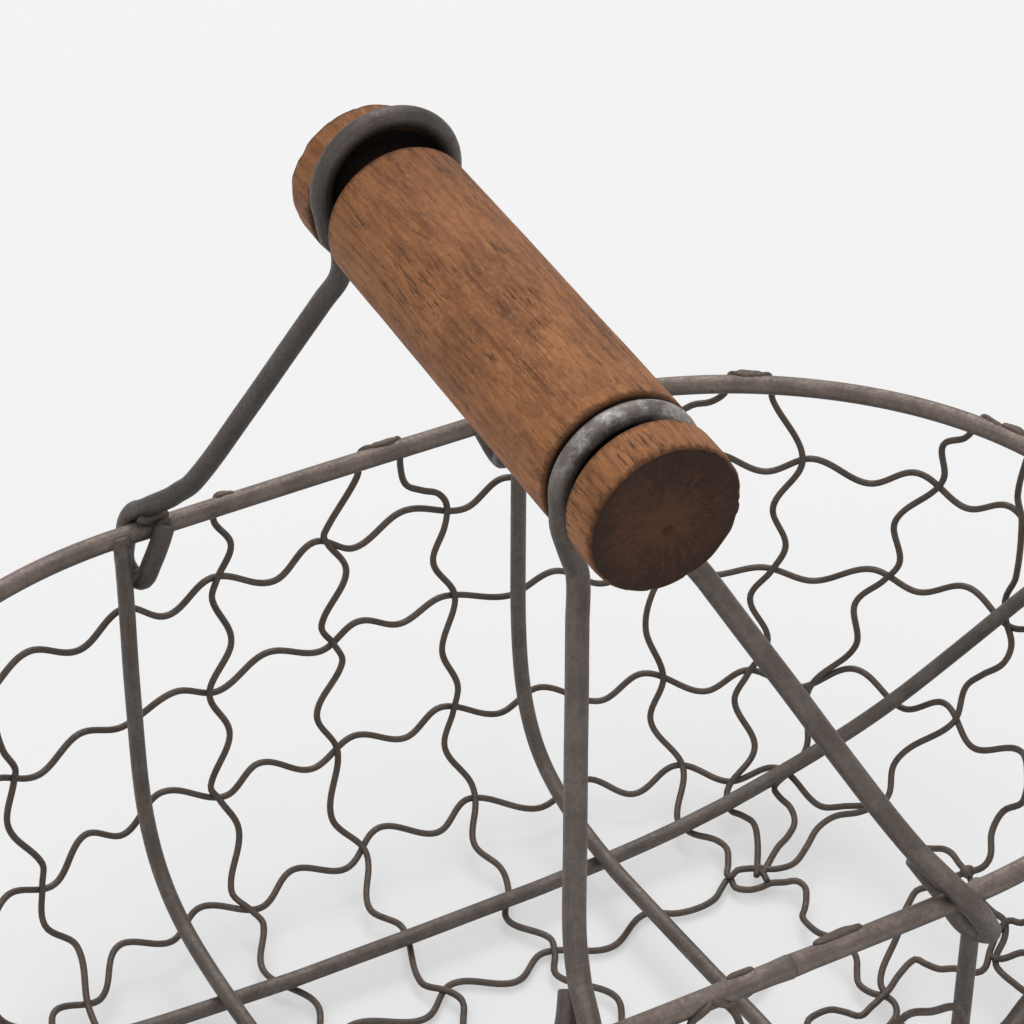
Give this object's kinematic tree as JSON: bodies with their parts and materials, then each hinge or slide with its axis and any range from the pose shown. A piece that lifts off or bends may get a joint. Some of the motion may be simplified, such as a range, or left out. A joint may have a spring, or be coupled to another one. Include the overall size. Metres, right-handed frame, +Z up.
{
  "type": "wire basket",
  "caption": "Oval open wire basket with a wavy wire net, heavier rim and ribs, and a fixed bail handle whose turned wooden grip rolls in two wire loops.",
  "frame": {"origin": "on the standing plane, under the middle of the basket", "axes": "+X along the basket, +Y across it along the handle grip towards the far side, +Z up"},
  "size_m": [0.29, 0.189, 0.2111],
  "materials": {
    "wire": "dark warm grey, satin, worn",
    "net": "dark brown grey, satin",
    "wood": "worn, lengthwise grain, dark end grain"
  },
  "bodies": {
    "frame": {"rim_ring": "wire", "cross_rib_left": "wire", "cross_rib_right": "wire", "long_rib_far": "wire", "long_rib_near": "wire", "handle_loop_far": "wire", "handle_loop_near": "wire", "net_cross_wire_1": "net", "net_cross_wire_2": "net", "net_cross_wire_3": "net", "net_end_wire_left_1": "net", "net_end_wire_left_2": "net", "net_end_wire_left_3": "net", "net_end_wire_left_4": "net", "net_end_wire_left_5": "net", "net_end_wire_left_6": "net", "net_end_wire_left_7": "net", "net_end_wire_left_8": "net", "net_end_wire_left_9": "net", "net_end_wire_right_1": "net", "net_end_wire_right_2": "net", "net_end_wire_right_3": "net", "net_end_wire_right_4": "net", "net_end_wire_right_5": "net", "net_end_wire_right_6": "net", "net_end_wire_right_7": "net", "net_end_wire_right_8": "net", "net_end_wire_right_9": "net", "net_hoop_1": "net", "net_hoop_2": "net", "net_hoop_3": "net", "net_hoop_4": "net", "net_hoop_5": "net", "net_keel_wire": "net"},
    "grip": {"grip": "wood"}
  },
  "joints": [
    {"name": "grip_turn", "type": "hinge", "parent": "frame", "child": "grip", "pos_m": [-0.0039, 0.002, 0.189], "axis": [0.0385, 0.9988, 0.0318], "continuous": true}
  ]
}
